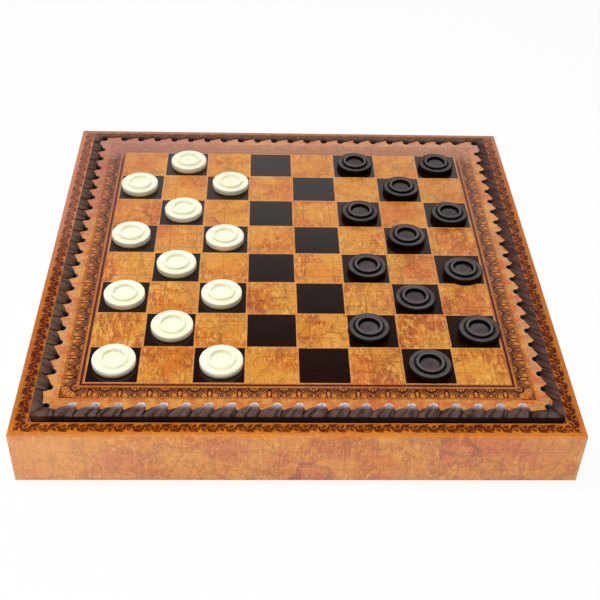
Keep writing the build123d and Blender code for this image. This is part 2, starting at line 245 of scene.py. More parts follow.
def parchmentPrint(flat, density, lands):
    # an invented old chart on tan: soft tinted lands inside wandering noise contours, coast lines with shore
    # hatching, a thin net of meridians, rays from two points, and fields of stipple, strokes and squiggles.
    # The drawing is denser in the near half
    def moved(x, y):
        return stretch(flat, (1, 1, 1), (x, y, 0))

    u, v, w = split(flat)
    density = density * (v.rise(0.12, -0.09) * 0.6 + 0.4)
    wander = noise(flat, 16)
    color = blendColor(noise(moved(3.1, 0.4), 9, 3, 0.55).rise(0.38, 0.62), *chartPlan["paper"])
    land, other = noise(moved(1.7, 5.2), 9, 3, 0.45), noise(moved(9.1, 3.3), 11, 3, 0.45)
    band = (land - 0.598).line(0.004, 0.006).most((other - 0.604).line(0.003, 0.005) * 0.8)
    ragged = (noise(moved(2.2, 9.4), 40, 5, 0.6) - 0.5) * 1.7
    tinted, shores = [], []
    for middle, turn, long, short in chartPlan["lands"]:
        around = ellipse(u, v, middle, turn, long, short) + ragged
        tinted.append(around.rise(1, 0.96))
        shores.append((around - 1.02).line(0.035, 0.03))
    color = layered(
        color,
        (noise(moved(7.3, 2.2), 14, 3, 0.5).rise(0.50, 0.66) * 0.45, rgb(212, 110, 46)),
        (noise(moved(2.9, 6.1), 12, 3, 0.5).rise(0.52, 0.66) * 0.5, rgb(217, 146, 48)),
        (land.rise(0.595, 0.61) * land.rise(0.74, 0.63) * lands, rgb(206, 98, 66)),
        (other.rise(0.60, 0.612) * 0.8 * lands, rgb(204, 102, 62)),
        (band * lands, rgb(140, 60, 42)),
        (greatest(tinted) * 0.45, rgb(202, 106, 78)),
        (greatest(shores) * 0.5, rgb(150, 76, 60)))
    coast = noise(moved(4.4, 8.8), 17, 7, 0.6)
    coastLine = (coast - 0.52).line(0.0025, 0.0035)
    hatch = (v * 800 + wander * 2).part().rise(0.55, 0.75) * (coast - 0.530).line(0.010, 0.006)
    islands = cells(stretch(flat, (1, 1.3, 1)), 34) + noise(flat, 210, 3) * 0.14 - 0.27
    islands = islands.line(0.010, 0.010) * noise(flat, 13).rise(0.54, 0.58)
    netU = ((u + wander * 0.004) / chartPlan["meridians"][0]).part() - 0.5
    netV = ((v + wander * 0.003) / chartPlan["meridians"][1]).part() - 0.5
    net = netU.line(0.010, 0.014).most(netV.line(0.011, 0.016)) * noise(flat, 20).rise(0.38, 0.48)
    rays = []
    for centre in chartPlan["rayCentres"]:
        du, dv = u - centre[0], v - centre[1]
        away = length(du, dv)
        turn = dv.calc("ARCTAN2", du) * (chartPlan["raysInHalfTurn"] / math.pi)
        rays.append(((turn.part() - 0.5) * away).line(0.0009, 0.0014) * away.rise(0.012, 0.016))
    strokes = noise(stretch(flat, (1, 0.22, 1)), 820).rise(0.53, 0.68)
    strokes = strokes * noise(moved(0.3, 0.9), 48, 3).rise(0.44, 0.58)
    crossways = noise(stretch(flat, (0.25, 1, 1), (2, 6, 0)), 700).rise(0.56, 0.70)
    crossways = crossways * noise(moved(5, 1), 40).rise(0.48, 0.60)
    squiggles = (noise(moved(8.2, 1.1), 230) - 0.5).line(0.012, 0.016)
    squiggles = squiggles * noise(moved(6.6, 4.1), 42).rise(0.52, 0.60)
    marks = cells(stretch(flat, (1, 0.55, 1)), 760) + noise(flat, 1500) * 0.35
    stipple = marks.rise(0.52, 0.30)
    stippled = noise(moved(1.2, 7.9), 27, 3).rise(0.44, 0.54)
    specks = cells(moved(0.7, 0.2), 420).rise(0.24, 0.12) * noise(flat, 75, 3).rise(0.50, 0.60)
    drawn = noise(stretch(flat, (1, 0.35, 1)), 330, 3, 0.55, 1.2)
    patchy = noise(moved(4.7, 2.6), 30).rise(0.34, 0.56) * density
    fine = (strokes * 0.95).most(crossways * 0.9).most(squiggles * 0.9).most(stipple * stippled * 0.3)
    ink = (coastLine * 0.75).most(hatch * 0.6).most(islands * 0.45).most(net * 0.5)
    ink = ink.most(greatest(rays) * 0.25).most(specks * density * 0.12) * (density * 0.5 + 0.4)
    return [layered(
        color,
        (drawn.rise(0.50, 0.58) * patchy * 0.85, rgb(178, 86, 34)),
        (drawn.rise(0.46, 0.38) * patchy * 0.8, rgb(244, 180, 96)),
        (fine * density, rgb(136, 60, 16)),
        (stippled * stipple.rise(0.3, 0) * 0.35, rgb(240, 182, 76)),
        (ink, chartPlan["ink"]))]


def roseCast(flat):
    # a rosy brown cast that grows with a soft ragged front towards two far corners of the sheet
    u, v, w = split(flat)
    ragged = (noise(flat, 22, 3) - 0.5) * 0.06
    left = (v * 0.55 - u * 0.83 + ragged).rise(0.115, 0.185)
    right = (v * 0.62 + u * 0.78 + ragged).rise(0.185, 0.245) * 0.6
    return [left.most(right)]


def ellipse(x, y, middle, turn, long, short):
    # a value below 1 inside a turned ellipse
    cosine, sine = math.cos(turn), math.sin(turn)
    dx, dy = x - middle[0], y - middle[1]
    return length((dx * cosine + dy * sine) / long, (dy * cosine - dx * sine) / short)


friezePlan = {"pitchShare": 2.04, "beads": 5,  # a fan's width over the band's width; beads to a fan
              "standing": (5, 0.78), "hanging": (5, 0.42), "petalsInCorner": 7}  # petals, reach


def palmetteFrieze(along, across, cornerX, cornerY):
    # fans of petals in double arches on the outer edge, small ones hung between them, and a row of beads.
    # along is counted in fans, across runs from 0 at the outer edge to 1 at the inner one
    def fan(x, y, petals, reach):
        # a slim bud and petals between ribs under a double arch; returns the lines and what is outside them
        away = length(x, y)
        turn = (x.calc("ARCTAN2", y) * (petals / 2)).cosine()
        arch = away - abs(turn) * reach * 0.08 - reach * 0.92
        bud = ellipse(x, y, (0, reach * 0.42), 0, reach * 0.21, reach * 0.48) - 1
        ribs = ((turn * away).line(0.05, 0.03) * 0.8).most(bud.line(0.22, 0.22))
        ribs = ribs.most((arch + reach * 0.20).line(0.035, 0.03) * 0.9).most(arch.line(0.04, 0.03))
        return ribs * arch.rise(0.06, 0.03), arch.rise(0.02, 0.05)

    plan, pitchShare = friezePlan, friezePlan["pitchShare"]
    between = ((along + 0.5).part() - 0.5) * pitchShare
    standing, outside = fan((along.part() - 0.5) * pitchShare, across - 0.12, *plan["standing"])
    hanging, below = fan(between, 1.02 - across, *plan["hanging"])
    curl = ellipse(abs(between), across, (0.36, 0.52), 0.9, 0.20, 0.085)
    drop = ellipse(abs(between), across, (0, 0.30), 0, 0.07, 0.13)
    ground = outside * below * curl.rise(0.85, 1.1) * drop.rise(0.85, 1.1) * 0.8
    bead = length(((along * plan["beads"]).part() - 0.5) / (plan["beads"] / 2), across - 0.075)
    edge = greatest([across.line(0.012, 0.02), (across - 0.15).line(0.012, 0.02),
                     (across - 1).line(0.03, 0.03)])
    body = standing.most(hanging * outside).most(ground) * across.rise(0.13, 0.16)
    straight = body.most(bead.rise(0.055, 0.08) * across.rise(0.16, 0.13) * 0.5).most(edge * 0.6)
    # in each corner square one fan opens outward from the inner corner
    away = length(cornerX, cornerY)
    turn = cornerX.calc("ARCTAN2", cornerY) * plan["petalsInCorner"]
    arch = away - abs(turn.cosine()) * 0.2 - 0.92
    ribs = (turn.sine() * away).line(0.10, 0.04).most((away - 0.34).line(0.06, 0.03)) * arch.rise(0.05, 0.02)
    fanned = greatest([ribs, arch.line(0.04, 0.03), arch.rise(0.10, 0.14) * 0.8,
                       (cornerX - 1).line(0.03, 0.03), (cornerY - 1).line(0.03, 0.03)])
    inCorner = cornerX.rise(-0.01, 0.01) * cornerY.rise(-0.01, 0.01)
    return [straight * (1 - inCorner) + fanned * inCorner]


scrollLeaves = [  # middle, turn, half length and half width, in a wave's length
    ((0.16, 0.74), 0.50, 0.15, 0.10), ((0.40, 0.86), -0.35, 0.12, 0.09), ((0.30, 0.34), -0.60, 0.14, 0.09),
    ((0.66, 0.26), -0.50, 0.15, 0.10), ((0.90, 0.14), 0.35, 0.12, 0.09), ((0.80, 0.66), 0.60, 0.14, 0.09),
    ((0.54, 0.62), 0.20, 0.10, 0.07), ((0.04, 0.40), -0.20, 0.10, 0.07),
]


def leafScroll(along, across):
    # a waving stem with lens-shaped leaves on both sides. along is counted in waves, across is 0 to 1
    x = along.part()
    marks = [(across - 0.5 - (along * (2 * math.pi)).sine() * 0.17).line(0.07, 0.05)]
    for middle, turn, long, short in scrollLeaves:
        inside = ellipse(x, across * 0.6, (middle[0], middle[1] * 0.6), turn, long, short)
        marks.append(inside.rise(1.12, 0.96) - inside.rise(0.42, 0.2) * 0.25)
    return [greatest(marks) * across.rise(0, 0.05) * across.rise(1, 0.95)]


def leatherGrain(where, size):
    # rounded pebbles between fine creases: the distance to cell borders, twice as fine inside, plus noise
    wide = cells(where, 1 / size, "DISTANCE_TO_EDGE").rise(0, 0.22)
    fine = cells(stretch(where, (1, 1, 1), (1.3, 2.1, 0.7)), 2.3 / size, "DISTANCE_TO_EDGE").rise(0, 0.25)
    soft = noise(where, 0.5 / size, 3)
    return [wide * 0.55 + fine * 0.25 + soft * 0.4, (wide * fine).rise(0.5, 0)]


def woodGrain(where, lengthwise):
    # growth lines: a sine of the distance across the grain, bent by noise; pores are short dark dashes.
    # lengthwise scales each axis, small along the grain
    drawn = stretch(where, lengthwise)
    bend = noise(drawn, 30, 3)
    x, y, z = split(drawn)
    rings = ((x + y * 0.7 + z * 1.3) * 2300 + bend * 34).sine() * 0.5 + 0.5
    pores = noise(drawn, 1400).rise(0.60, 0.72)
    return [rings * 0.6 + noise(drawn, 160, 3) * 0.5, pores]


def feltNap(where):
    # short fibres lying all ways: two stretched noises at right angles, over soft clouds
    one = noise(stretch(where, (1, 0.25, 1)), 2600)
    two = noise(stretch(where, (0.25, 1, 1), (3, 1, 2)), 2600)
    return [one.most(two), noise(where, 45, 3)]


def edgeWear(where, distance, width):
    # a ragged rub along an edge: the distance to it, roughened by noise, below a width
    ragged = distance + (noise(where, 420, 5, 0.65) - 0.5) * width * 2.4
    patchy = noise(where, 38).rise(0.42, 0.60)
    return [ragged.rise(width, 0) * patchy]


def dustSpecks(where):
    # sparse pale grains, and a thin film in clouds
    grains = cells(where, 240).rise(0.055, 0.03)
    return [grains, noise(where, 22, 4).rise(0.52, 0.75)]


groups = {
    "unfold": makeGroup(unfoldSheet, ["Where", "Rim Level"], ["Flat", "Along", "Reach"]),
    "print": makeGroup(parchmentPrint, ["Flat", "Density", "Lands"], ["Color"]),
    "rose": makeGroup(roseCast, ["Flat"], ["Mask"]),
    "frieze": makeGroup(palmetteFrieze, ["Along", "Across", "Corner X", "Corner Y"], ["Mask"]),
    "scroll": makeGroup(leafScroll, ["Along", "Across"], ["Mask"]),
    "leather": makeGroup(leatherGrain, ["Where", "Size"], ["Height", "Crease"]),
    "wood": makeGroup(woodGrain, ["Where", "Lengthwise"], ["Rings", "Pores"]),
    "felt": makeGroup(feltNap, ["Where"], ["Fibres", "Clouds"]),
    "wear": makeGroup(edgeWear, ["Where", "Distance", "Width"], ["Mask"]),
    "dust": makeGroup(dustSpecks, ["Where"], ["Grains", "Film"]),
}


def makeMaterial(name, paint, fixed):
    # paint gives the colour, roughness, height and the height's depth; fixed values go straight on the shader
    material = bpy.data.materials.new(name)
    material.use_nodes = True
    tree = material.node_tree
    shader = tree.nodes["Principled BSDF"]
    where = Field(tree, tree.nodes.new("ShaderNodeTexCoord").outputs["Object"])
    color, roughness, height, depth = paint(where)
    normal, = addNode(tree, "Bump", {"Strength": 1, "Distance": depth, "Height": height})
    for label, value in {"Base Color": color, "Roughness": roughness, "Normal": normal, **fixed}.items():
        plug(value, shader.inputs[label])
    return material


leatherettePlan = {
    "frieze": (4.125, 4.395), "friezeFans": 15 / 8.25,      # its reach, and fans to a square, in squares
    "scroll": (4.910, 5.130), "scrollWaves": 3,             # the same of the scroll on the rim
    "frameLine": 4.048, "fieldEnd": 4, "holeBorder": 4.39,
    "grain": 0.55 * mm, "grainDepth": 0.014 * mm,
    "printInk": rgb(66, 14, 1), "squareInk": rgb(28, 6, 1), "frameInk": rgb(84, 10, 0),
    "scrollInk": rgb(72, 6, 0), "paleEdge": rgb(222, 156, 92), "dust": rgb(226, 214, 200),
    "rimReach": 175.4 * mm, "cornerReach": 348.5 * mm, "footLevel": 0.8 * mm, "wearWidth": 0.7 * mm,
}


def paintBoard(where):
    # the playing squares, the frame line, the frieze and the printed chart over them all
    plan, square = leatherettePlan, boardPlan["square"]
    flat, along, reach = useGroup("unfold", where, boardPlan["fieldLevel"])
    color, = useGroup("print", flat, 0.88, 0.45)
    rose, = useGroup("rose", flat)
    x, y, z = split(where)
    shake = (noise(where, 300) - 0.5) * 0.012
    column, row = x / square + 4, y / square + 4
    fromEdge = 0.5 - abs(column.part() - 0.5).most(abs(row.part() - 0.5)) + shake
    out = reach / square
    border = out.rise(plan["fieldEnd"], plan["fieldEnd"] + 0.001)
    dark = 1 - (column.floor() + row.floor()).calc("MODULO", 2)
    dark = dark * out.rise(plan["fieldEnd"], plan["fieldEnd"] - 0.001)
    inked = dark * fromEdge.rise(0.014, 0.022)
    mottled = noise(where, 120, 3, 0.6)
    atHoles = out.rise(4.36, plan["holeBorder"])
    beside = out.rise(4.38, 4.56) * (y.rise(-0.152, -0.140) * 0.25 + 0.12)  # paler round the holes
    ring = out.rise(3.995, plan["fieldEnd"]) * out.rise(4.14, 4.13)
    frameLine = (out - plan["frameLine"] + shake * 0.5).line(0.019, 0.008)
    inner, outer = plan["frieze"]
    across = (outer - out) / (outer - inner)
    corner = [(abs(side) - inner * square) / ((outer - inner) * square) for side in (x, y)]
    frieze, = useGroup("frieze", along / square * plan["friezeFans"] + 0.5, across, *corner)
    frieze = frieze * across.rise(-0.06, 0) * across.rise(1.06, 1)
    far = y.rise(0.120, 0.140)  # the far strip is fainter and rosier
    worn = (noise(where, 500, 3).rise(0.34, 0.46) * 0.15 + 0.85) * (1 - far * 0.45)
    inBand = across.rise(-0.03, 0) * across.rise(1.03, 1)
    filling = noise(where, 950).rise(0.50, 0.58) * 0.25
    scuffs = noise(stretch(where, (1, 3.2, 1)), 160, 5, 0.7).rise(0.60, 0.80) * 0.06
    grain, crease = useGroup("leather", where, plan["grain"])
    grains, film = useGroup("dust", where)
    color = layered(
        color,
        (border * 0.45, rgb(194, 108, 40)),
        (beside, rgb(224, 180, 142)),
        (atHoles * mottled.rise(0.52, 0.62) * 0.7, rgb(228, 158, 62)),
        (atHoles * mottled.rise(0.47, 0.38) * 0.6, rgb(212, 82, 30)),
        (rose * (border * 0.5 + 0.2), rgb(172, 92, 74)),
        (dark * fromEdge.rise(0.022, 0.014) * 0.75, plan["paleEdge"]),
        (ring * 0.4, rgb(140, 84, 58)),
        (inBand * 0.5 * (1 - rose * 0.7), rgb(214, 128, 58)),
        ((frieze * worn).most(inBand * filling), plan["printInk"]),
        (frameLine * (1 - far * 0.6), plan["frameInk"]),
        (far * (1 - inked) * border * 0.3, rgb(184, 142, 134)),
        (inked, blendColor(scuffs, plan["squareInk"], rgb(74, 40, 28))),
        ((grains * 0.10).most(film * 0.012) * (1 - inked * 0.95), plan["dust"]))
    roughness = 0.19 - inked * 0.06 + noise(where, 85, 3) * 0.06 + crease * 0.05
    height = (grain + noise(where, 30) * 0.5) * (0.55 - inked * 0.35)
    return color, roughness, height, plan["grainDepth"]


def paintCase(where):
    # the same chart carried over the rim and down the walls, with the leaf scroll on the rim
    plan, square = leatherettePlan, boardPlan["square"]
    flat, along, reach = useGroup("unfold", where, boardPlan["rimLevel"])
    color, = useGroup("print", flat, 0.75, 0.9)
    rose, = useGroup("rose", flat)
    x, y, z = split(where)
    out = reach / square
    rim = out.rise(5.27, 5.22)
    outside = out.rise(5.10, 5.20).most(x.rise(0.155, 0.170) * 0.6)
    ground = blendColor(outside, rgb(188, 98, 18), rgb(200, 116, 28))
    ground = blendColor(y.rise(-0.160, -0.170) * 0.7, ground, rgb(232, 132, 34))
    litFront = (1 - rim) * y.rise(-0.170, -0.174) * x.rise(-0.04, -0.17)
    inner, outer = plan["scroll"]
    across = (out - inner) / (outer - inner)
    scroll, = useGroup("scroll", along / square * plan["scrollWaves"], across)
    worn = noise(where, 420, 3).rise(0.36, 0.48) * 0.25 + 0.75
    inBand = across.rise(-0.02, 0.06) * across.rise(1.02, 0.94) * noise(where, 210).rise(0.36, 0.6)
    specked = inBand * noise(where, 640).rise(0.51, 0.57) * 0.75
    faded = 1 - y.rise(-0.160, -0.170) * 0.1  # the front strip is printed lighter
    toRim = abs(reach / mm - plan["rimReach"] / mm) * mm
    toCorner = abs((abs(x) + abs(y)) / mm - plan["cornerReach"] / mm) * mm
    nearest = toRim.least(z - plan["footLevel"]).least(toCorner)
    edgeLightening, = useGroup("wear", where, nearest, plan["wearWidth"])
    grain, crease = useGroup("leather", where, plan["grain"])
    grains, film = useGroup("dust", where)
    color = layered(
        color,
        ((1 - rim) * 0.28, rgb(234, 164, 132)),
        (rim * 0.75, ground),
        (litFront * 0.3, rgb(250, 184, 130)),
        (rose * 0.75, rgb(212, 142, 114)),
        (inBand * 0.3, rgb(138, 44, 3)),
        (scroll.most(specked) * worn * faded * (1 - rose * 0.3), plan["scrollInk"]),
        (rim * abs(x).rise(0.162, 0.168) * 0.12, rgb(120, 48, 10)),
        (rim * y.rise(0.165, 0.170) * 0.5, rgb(162, 120, 94)),
        (edgeLightening * 0.5, rgb(222, 176, 128)),
        ((grains * 0.08).most(film * 0.01), plan["dust"]))
    roughness = 0.24 + noise(where, 85, 3) * 0.08 + crease * 0.06 + edgeLightening * 0.15
    return color, roughness, grain * 0.7 + noise(where, 40) * 0.8, plan["grainDepth"]


def paintUnderside(where):
    grain, crease = useGroup("leather", where, 0.8 * mm)
    tone = noise(where, 18, 4)
    color = layered(rgb(96, 52, 28), (tone.rise(0.35, 0.65), rgb(122, 70, 38)),
                    (crease * 0.4, rgb(58, 30, 18)))
    return color, 0.5 + crease * 0.15, grain, 0.08 * mm


def paintLace(where):
    # black hide: fine grain, painted highlights on the high folds, painted black shade in the fold valleys
    # and down the edge, and painted grey or brown light by its side
    grain, crease = useGroup("leather", where, 0.42 * mm)
    tone = noise(where, 130, 4)
    foldShading = readAttribute(where, "foldShading")
    x, y, z = split(where)
    color = layered(
        rgb(68, 42, 33),
        (tone.rise(0.38, 0.66), rgb(106, 74, 61)),
        ((foldShading + tone * 0.2).rise(0.72, 0.95) * 0.4, rgb(140, 108, 102)),
        ((foldShading + tone * 0.15).rise(0.62, 0.16) * 0.95, rgb(7, 3, 3)),
        (crease * 0.4, rgb(12, 8, 8)),
        # painted light by side: greyer on the left, lighter and browner at the back, darker and redder at the
        # right front
        (x.rise(-0.150, -0.157) * 0.35, rgb(104, 76, 52)),
        (y.rise(0.150, 0.157) * 0.35, rgb(156, 104, 70)),
        (x.rise(0.150, 0.157) * y.rise(-0.155, -0.150) * 0.3, rgb(84, 30, 22)),
        # painted shade where the lace bends into the holes, lighter at the back, then a painted sheen on that
        # bend on the lit side
        (readAttribute(where, "shaded") * (0.9 - y.rise(0.150, 0.157) * 0.25), rgb(12, 2, 1)),
        (readAttribute(where, "sheen") * (0.45 + tone * 0.6), rgb(186, 178, 190)))
    roughness = 0.46 + noise(where, 240, 3) * 0.16 + crease * 0.1
    return color, roughness, grain + noise(where, 700, 4) * 0.5, 0.07 * mm


def paintPaleBoard(where):
    # grey-white card, soiled in patches; painted shade turns it tan away from the front row and brown on the
    # far half, and paints it dark on the lace's side of each hole, deep in the holes and in each corner's
    # hole
    fibres = noise(stretch(where, (1, 1, 3.5)), 1500, 4)
    x, y, z = split(where)
    inside = 1 - abs(x).most(abs(y)).rise(0.1495, 0.1490)
    color = layered(
        rgb(214, 206, 208),
        (fibres.rise(0.35, 0.7), rgb(246, 242, 248)),
        (noise(where, 330, 3).rise(0.50, 0.64) * 0.4, rgb(196, 142, 96)),
        (y.rise(-0.150, -0.146) * 0.75, rgb(208, 154, 110)),
        (y.rise(-0.060, 0.040) * 0.8, rgb(120, 66, 40)),
        ((1 - readAttribute(where, "pale")) * inside, rgb(14, 9, 8)))
    return color, 0.75 + fibres * 0.15, fibres, 0.06 * mm


def paintPanel(where):
    flecks = noise(where, 1100, 5, 0.7)
    clouds = noise(where, 60, 3)
    color = layered(rgb(150, 112, 74), (flecks.rise(0.3, 0.7), rgb(190, 152, 108)),
                    (clouds.rise(0.3, 0.7) * 0.4, rgb(164, 124, 84)))
    return color, 0.7 + flecks * 0.2, flecks, 0.08 * mm


def woodPainter(light, dark, poreColor, lengthwise, gloss):
    def paint(where):
        rings, pores = useGroup("wood", where, lengthwise)
        color = layered(light, (rings.rise(0.25, 0.85), dark), (pores * 0.55, poreColor),
                        (noise(where, 35, 3).rise(0.4, 0.7) * 0.3, dark))
        return color, gloss + pores * 0.15 + rings * 0.06, rings * 0.3 - pores, 0.06 * mm
    return paint


def feltPainter(deep, lit):
    def paint(where):
        fibres, clouds = useGroup("felt", where)
        color = layered(deep, (fibres.rise(0.42, 0.72), lit), (clouds.rise(0.45, 0.7) * 0.25, deep))
        return color, 0.88 + fibres * 0.1, fibres + clouds * 0.6, 0.25 * mm
    return paint


def paintIvory(where):
    # cast resin: faint clouds, a warmer tone and light dirt in the fine pits
    clouds = noise(where, 70, 3)
    pits = noise(where, 1300, 3).rise(0.66, 0.76)
    color = layered(rgb(253, 250, 220), (clouds.rise(0.3, 0.7), rgb(254, 252, 230)),
                    (pits * 0.25, rgb(206, 190, 156)))
    return color, 0.40 + clouds * 0.08 + pits * 0.2, clouds - pits * 0.4, 0.03 * mm


def paintBlack(where):
    # cast resin, matt from its mould: fine stipple, with a painted grey sheen on the level faces and painted
    # highlights on convex edges and the ring's top
    clouds = noise(where, 90, 4)
    stipple = noise(where, 2100, 3)
    level = readAttribute(where, "level").rise(0.86, 1)
    cloudy = clouds.rise(0.35, 0.7)
    paintedSheen = blendColor(cloudy, rgb(82, 72, 71), rgb(98, 89, 88))
    color = layered(rgb(6, 4, 4), (cloudy, rgb(10, 7, 7)), (level * (0.8 + stipple * 0.4), paintedSheen),
                    (readAttribute(where, "edgeLightening") * 0.55, rgb(118, 110, 109)))
    return color, 0.50 + stipple * 0.2, stipple, 0.05 * mm


# each finish: how it is painted, and what stands fixed on its shader
finishes = {
    "case_leatherette": (paintCase, {"Specular IOR Level": 0.18}),
    "board_leatherette": (paintBoard, {}),
    "underside_leatherette": (paintUnderside, {}),
    "lace_leather": (paintLace, {"Specular IOR Level": 0.16}),
    "board_core": (paintPaleBoard, {}),
    "panel_board": (paintPanel, {}),
    "ledge_wood": (woodPainter(rgb(214, 176, 126), rgb(194, 150, 100), rgb(140, 98, 60), (0.08, 0.08, 1),
                               0.52), {}),
    "baize": (feltPainter(rgb(20, 66, 44), rgb(44, 108, 72)), {"Sheen Weight": 0.4}),
    "lining_felt": (feltPainter(rgb(108, 20, 26), rgb(158, 44, 46)), {"Sheen Weight": 0.4}),
    "white_draught": (paintIvory, {"Subsurface Weight": 0.4, "Subsurface Scale": 2 * mm,
                                   "Subsurface Radius": (1, 0.95, 0.75)}),
    "black_draught": (paintBlack, {"Specular IOR Level": 0.1}),
    "boxwood": (woodPainter(rgb(226, 190, 130), rgb(206, 162, 98), rgb(150, 106, 58), (0.1, 1, 1), 0.34), {}),
    "stained_wood": (woodPainter(rgb(64, 34, 22), rgb(36, 18, 12), rgb(16, 8, 6), (0.1, 1, 1), 0.32), {}),
}
materials = {name: makeMaterial(name, paint, fixed) for name, (paint, fixed) in finishes.items()}


def addFloorAndSky():
    half, level = floorSettings["half"], floorSettings["level"]
    mesh = bpy.data.meshes.new("floor")
    mesh.from_pydata([(-half, -half, level), (half, -half, level), (half, half, level), (-half, half, level)],
                     [], [(0, 1, 2, 3)])
    material = bpy.data.materials.new("floor_paper")
    material.use_nodes = True
    tree = material.node_tree
    tree.nodes.clear()
    rays = tree.nodes.new("ShaderNodeLightPath").outputs
    seen = Field(tree, rays["Is Camera Ray"]).most(rays["Is Glossy Ray"]).most(rays["Is Transmission Ray"])
    paper, = addNode(tree, "BsdfDiffuse", {"Color": (floorSettings["tone"],) * 3 + (1,)})
    white, = addNode(tree, "Emission")
    mix, = addNode(tree, "MixShader", (seen * floorSettings["shownWhite"], paper, white))
    addNode(tree, "OutputMaterial", [mix])
    mesh.materials.append(material)
    floor = addObject("floor", mesh)
    # a pale sweep low down, and a dimmer room above it
    world = bpy.data.worlds.new("studio")
    world.use_nodes = True
    tree = world.node_tree
    x, y, z = split(Field(tree, tree.nodes.new("ShaderNodeTexCoord").outputs["Generated"]))
    s = skySettings
    low = y.rise(-0.25, 0.45) * (s["low"] - s["front"]) + s["front"]
    share = z.rise(s["turnFrom"], s["turnTo"])
    strength = low * (1 - share) + share * s["high"]
    rays = tree.nodes.new("ShaderNodeLightPath").outputs
    sky = tree.nodes["Background"].inputs
    plug(strength.most(rays["Is Camera Ray"]), sky["Strength"])
    plug((1, 1, 1, 1), sky["Color"])
    bpy.context.scene.world = world


addCamera()
addLamps()
addFloorAndSky()
bpy.context.scene.view_settings.view_transform = "Standard"
print("camera, floor, light and materials made")


def gridFaces(rows, columns, closedRows=False, closedColumns=False):
    # the quads of a grid of points, counted row by row; a closed way joins its last line to its first
    r = np.arange(rows if closedRows else rows - 1)[:, None]
    c = np.arange(columns if closedColumns else columns - 1)[None, :]
    nextR, nextC = (r + 1) % rows, (c + 1) % columns
    corners = [r * columns + c, r * columns + nextC, nextR * columns + nextC, nextR * columns + c]
    return np.stack(corners, -1).reshape(-1, 4)


def addMesh(name, points, faces, material, body, values, replaced=()):
    mesh = bpy.data.meshes.new(name)
    mesh.from_pydata(np.asarray(points, float).reshape(-1, 3), [], [list(map(int, f)) for f in faces])
    for label, numbers in values.items():
        attribute = mesh.attributes.new(label, "FLOAT", "POINT")
        attribute.data.foreach_set("value", np.asarray(numbers, np.float32).ravel())
    mesh.polygons.foreach_set("use_smooth", np.ones(len(mesh.polygons), bool))
    mesh.validate()
    mesh.update()
    mesh.materials.append(materials[material])
    piece = addObject(name, mesh)
    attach(piece, body)
    if replaced:
        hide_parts(*replaced)


def turnQuarter(points, quarter):
    # whole-array turn about Z by quarter turns
    cosine, sine = round(math.cos(quarter * math.pi / 2)), round(math.sin(quarter * math.pi / 2))
    x, y, z = points[..., 0], points[..., 1], points[..., 2]
    return np.stack([x * cosine - y * sine, x * sine + y * cosine, z], -1)


lacing = {
    "perSide": 22, "holeInset": 8.8 * mm, "cornerSpread": 2.4 * mm, "lean": 3.4 * mm, "valleyInset": 5.0 * mm,
    "tipHalf": 2.3 * mm, "tipInset": (8.9 * mm, 7.9 * mm),  # the tip's trailing and leading end
    "thickness": 0.9 * mm, "edgeRadius": 1.1 * mm, "topLean": 1.6 * mm, "sideLean": 1.4 * mm,
    "foldHeight": 1.5 * mm, "seamStep": 0.6 * mm, "dive": 3.6 * mm, "gap": 0.02 * mm,
    "folds": ((2.0, 0.5), (3.6, 0.3), (7.5, 0.2)),  # folds to a stitch, and their share
    "samples": 40, "firstSeed": 11, "litSide": "front",
    # the rows in a hole: width, reach towards it, depth, and height over the board in mm
    "inHole": ((1.0, 0.2, 1.0, 0.02), (0.9, 0.3, 0.35, 0.10), (0.55, 0.35, 0.10, 0.2)),
    # how far the foot, at 0, has gone to the rounded edge, at 1
    "steps": (-0.04, 0.0, 0.05, 0.11, 0.19, 0.29, 0.41, 0.55, 0.70, 0.85, 1.0),
    "shoulders": {-0.04: 0.35, 0.0: 0.78},  # the share of the height at the first steps
    "bulge": (0.42 * mm, 0.16, 0.14),  # the swelling next to the foot: its height, middle and width
}
holeHalf = boardPlan["edge"] - lacing["holeInset"]
stitchPitch = 2 * (holeHalf - lacing["cornerSpread"]) / lacing["perSide"]


def edgePath(s):
    # the board's outer edge as a path: along the front, round the corner on an arc, then up the right side.
    # s is the distance, with s = x on the front. Gives places and outward directions
    edge, radius = boardPlan["edge"], boardPlan["cornerRadius"]
    straight, bend = edge - radius, math.pi / 2 * radius
    turn = np.clip((s - straight) / radius, 0, math.pi / 2)
    outward = np.stack([np.sin(turn), -np.cos(turn)], -1)
    x = np.minimum(s, straight) + radius * np.sin(turn)
    y = -edge + radius * (1 - np.cos(turn)) + np.maximum(s - straight - bend, 0)
    return np.stack([x, y], -1), outward


def holesAlong(numbers):
    # a side's holes by number: 0 is its corner's, and the others follow at the pitch, a little further off
    return holeHalf - lacing["cornerSpread"] * (numbers > 0) - numbers * stitchPitch


